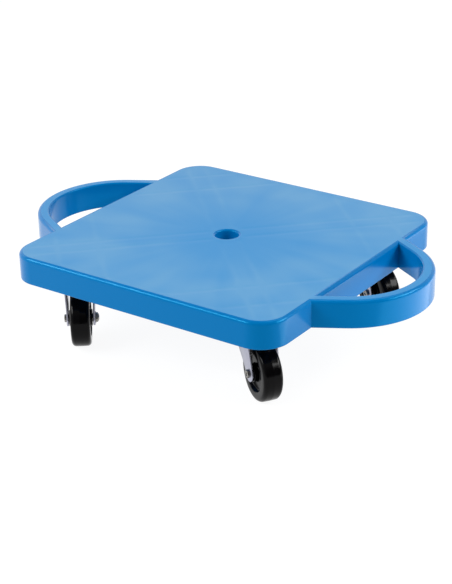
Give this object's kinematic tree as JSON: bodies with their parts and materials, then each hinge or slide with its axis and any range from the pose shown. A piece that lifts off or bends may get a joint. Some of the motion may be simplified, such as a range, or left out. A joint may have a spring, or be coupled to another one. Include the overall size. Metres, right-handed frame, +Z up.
{
  "type": "scooter board",
  "caption": "Square moulded scooter board with a D-shaped hand grip on each of two opposite sides, a round hole in the middle, and swivel casters under its corners.",
  "frame": {"origin": "centre of the footprint at floor level, below the middle of the deck", "axes": "+X from one hand grip to the other, +Y along the deck's other side, +Z up from the floor"},
  "size_m": [0.586, 0.406, 0.1285],
  "materials": {
    "deck_plastic": "moulded polyethylene, semi-gloss",
    "zinc": "bright zinc plated pressed steel",
    "steel": "plain steel, bright",
    "screw_steel": "zinc plated screw steel",
    "wheel_rubber": "hard moulded rubber, semi-gloss black"
  },
  "bodies": {
    "board": {"deck": "deck_plastic", "front_left_plate": "zinc", "front_left_kingpin": "steel", "front_left_race_cup": "zinc", "front_left_screw_1": "screw_steel", "front_left_screw_2": "screw_steel", "front_left_screw_3": "screw_steel", "front_left_screw_4": "screw_steel", "front_right_plate": "zinc", "front_right_kingpin": "steel", "front_right_race_cup": "zinc", "front_right_screw_1": "screw_steel", "front_right_screw_2": "screw_steel", "front_right_screw_3": "screw_steel", "front_right_screw_4": "screw_steel", "rear_right_plate": "zinc", "rear_right_kingpin": "steel", "rear_right_race_cup": "zinc", "rear_right_screw_1": "screw_steel", "rear_right_screw_2": "screw_steel", "rear_right_screw_3": "screw_steel", "rear_right_screw_4": "screw_steel", "rear_left_plate": "zinc", "rear_left_kingpin": "steel", "rear_left_race_cup": "zinc", "rear_left_screw_1": "screw_steel", "rear_left_screw_2": "screw_steel", "rear_left_screw_3": "screw_steel", "rear_left_screw_4": "screw_steel"},
    "front_left_swivel_body": {"front_left_fork": "zinc", "front_left_axle_sleeve": "steel", "front_left_axle_bolt": "zinc", "front_left_axle_nut": "zinc"},
    "front_left_wheel_body": {"front_left_wheel": "wheel_rubber"},
    "front_left_ball_body": {"front_left_upper_balls": "steel", "front_left_lower_balls": "steel"},
    "front_right_swivel_body": {"front_right_fork": "zinc", "front_right_axle_sleeve": "steel", "front_right_axle_bolt": "zinc", "front_right_axle_nut": "zinc"},
    "front_right_wheel_body": {"front_right_wheel": "wheel_rubber"},
    "front_right_ball_body": {"front_right_upper_balls": "steel", "front_right_lower_balls": "steel"},
    "rear_right_swivel_body": {"rear_right_fork": "zinc", "rear_right_axle_sleeve": "steel", "rear_right_axle_bolt": "zinc", "rear_right_axle_nut": "zinc"},
    "rear_right_wheel_body": {"rear_right_wheel": "wheel_rubber"},
    "rear_right_ball_body": {"rear_right_upper_balls": "steel", "rear_right_lower_balls": "steel"},
    "rear_left_swivel_body": {"rear_left_fork": "zinc", "rear_left_axle_sleeve": "steel", "rear_left_axle_bolt": "zinc", "rear_left_axle_nut": "zinc"},
    "rear_left_wheel_body": {"rear_left_wheel": "wheel_rubber"},
    "rear_left_ball_body": {"rear_left_upper_balls": "steel", "rear_left_lower_balls": "steel"}
  },
  "joints": [
    {"name": "front_left_swivel", "type": "hinge", "parent": "board", "child": "front_left_swivel_body", "pos_m": [-0.1385, -0.1385, 0.09702], "axis": [0, 0, 1], "continuous": true},
    {"name": "front_left_roll", "type": "hinge", "parent": "front_left_swivel_body", "child": "front_left_wheel_body", "pos_m": [-0.12526, -0.15544, 0.03732], "axis": [0.788, 0.6157, 0], "continuous": true},
    {"name": "front_left_balls_turn", "type": "hinge", "parent": "board", "child": "front_left_ball_body", "pos_m": [-0.1385, -0.1385, 0.0917], "axis": [0, 0, 1], "continuous": true},
    {"name": "front_right_swivel", "type": "hinge", "parent": "board", "child": "front_right_swivel_body", "pos_m": [0.1385, -0.1385, 0.09702], "axis": [0, 0, 1], "continuous": true},
    {"name": "front_right_roll", "type": "hinge", "parent": "front_right_swivel_body", "child": "front_right_wheel_body", "pos_m": [0.15643, -0.15037, 0.03732], "axis": [0.5519, 0.8339, 0], "continuous": true},
    {"name": "front_right_balls_turn", "type": "hinge", "parent": "board", "child": "front_right_ball_body", "pos_m": [0.1385, -0.1385, 0.0917], "axis": [0, 0, 1], "continuous": true},
    {"name": "rear_right_swivel", "type": "hinge", "parent": "board", "child": "rear_right_swivel_body", "pos_m": [0.1385, 0.1385, 0.09702], "axis": [0, 0, 1], "continuous": true},
    {"name": "rear_right_roll", "type": "hinge", "parent": "rear_right_swivel_body", "child": "rear_right_wheel_body", "pos_m": [0.1573, 0.12808, 0.03732], "axis": [0.4848, 0.8746, 0], "continuous": true},
    {"name": "rear_right_balls_turn", "type": "hinge", "parent": "board", "child": "rear_right_ball_body", "pos_m": [0.1385, 0.1385, 0.0917], "axis": [0, 0, 1], "continuous": true},
    {"name": "rear_left_swivel", "type": "hinge", "parent": "board", "child": "rear_left_swivel_body", "pos_m": [-0.1385, 0.1385, 0.09702], "axis": [0, 0, 1], "continuous": true},
    {"name": "rear_left_roll", "type": "hinge", "parent": "rear_left_swivel_body", "child": "rear_left_wheel_body", "pos_m": [-0.12227, 0.12439, 0.03732], "axis": [0.6561, 0.7547, 0], "continuous": true},
    {"name": "rear_left_balls_turn", "type": "hinge", "parent": "board", "child": "rear_left_ball_body", "pos_m": [-0.1385, 0.1385, 0.0917], "axis": [0, 0, 1], "continuous": true}
  ],
  "couplings": [
    {"joint": "front_left_balls_turn", "follows": "front_left_swivel", "ratio": 0.5},
    {"joint": "front_right_balls_turn", "follows": "front_right_swivel", "ratio": 0.5},
    {"joint": "rear_right_balls_turn", "follows": "rear_right_swivel", "ratio": 0.5},
    {"joint": "rear_left_balls_turn", "follows": "rear_left_swivel", "ratio": 0.5}
  ]
}
